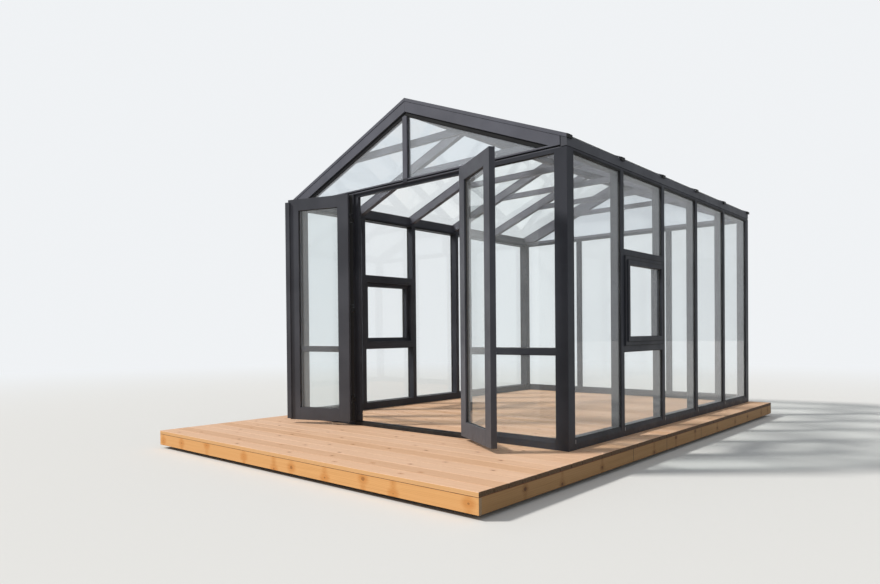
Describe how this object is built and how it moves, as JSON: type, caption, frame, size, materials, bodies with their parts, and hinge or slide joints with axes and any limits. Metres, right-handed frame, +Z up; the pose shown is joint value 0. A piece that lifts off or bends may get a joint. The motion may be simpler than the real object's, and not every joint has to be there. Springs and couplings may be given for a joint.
{
  "type": "glass greenhouse",
  "caption": "Gabled aluminium and glass greenhouse with outward double doors and side casement windows, standing on its own low timber deck.",
  "frame": {"origin": "On the ground, under the middle of the timber deck.", "axes": "+X to the right and +Y to the back, seen from in front of the doors; +Z up."},
  "size_m": [3.44, 6.03, 3.0786],
  "materials": {
    "frame": "anthracite powder coat, fine satin texture",
    "trim": "near-black powder coat, satin",
    "wall_glass": "clear toughened glass",
    "roof_glass": "clear toughened glass",
    "deck_top": "oiled softwood boards, pinkish brown",
    "deck_edge": "oiled softwood fascia with knots",
    "deck_frame": "treated rough-sawn joists",
    "pads": "cast concrete pads",
    "hinge": "black coated hinge steel"
  },
  "bodies": {
    "house": {"collar_ties": "frame", "corner_posts": "frame", "deck_boards": "deck_top", "deck_end_fascias": "deck_edge", "deck_joists": "deck_frame", "deck_pads": "pads", "deck_side_fascias": "deck_edge", "door_jambs": "frame", "door_threshold": "trim", "eave_beams": "frame", "gable_glass": "roof_glass", "gable_mullions": "frame", "gable_rails": "frame", "glazing_caps": "trim", "headers": "frame", "hinge_brackets": "hinge", "left_end_rafters": "frame", "left_roof_glass": "roof_glass", "left_wall_glass": "wall_glass", "left_wall_mullions": "frame", "rafters": "frame", "rear_wall_glass": "wall_glass", "rear_wall_mullions": "frame", "ridge_beam": "frame", "ridge_cap": "trim", "right_end_rafters": "frame", "right_roof_glass": "roof_glass", "right_wall_glass": "wall_glass", "right_wall_mullions": "frame", "sidelight_glass": "wall_glass", "sidelight_rails": "frame", "wall_sills": "frame", "wall_top_rails": "frame", "window_frame_rails": "frame", "window_frame_stiles": "frame", "window_glass": "wall_glass", "window_rails": "frame", "window_sash_rails": "frame", "window_sash_stiles": "frame"},
    "left_door": {"left_door_glass": "wall_glass", "left_door_hinges": "hinge", "left_door_rails": "frame", "left_door_stiles": "frame"},
    "right_door": {"right_door_glass": "wall_glass", "right_door_hinges": "hinge", "right_door_rails": "frame", "right_door_stiles": "frame"}
  },
  "joints": [
    {"name": "left_door_hinge", "type": "hinge", "parent": "house", "child": "left_door", "pos_m": [-0.6445, -1.61, 1.258], "axis": [0, 0, -1], "range_deg": [-158, 7]},
    {"name": "right_door_hinge", "type": "hinge", "parent": "house", "child": "right_door", "pos_m": [0.6445, -1.61, 1.258], "axis": [0, 0, 1], "range_deg": [-145, 20]}
  ]
}
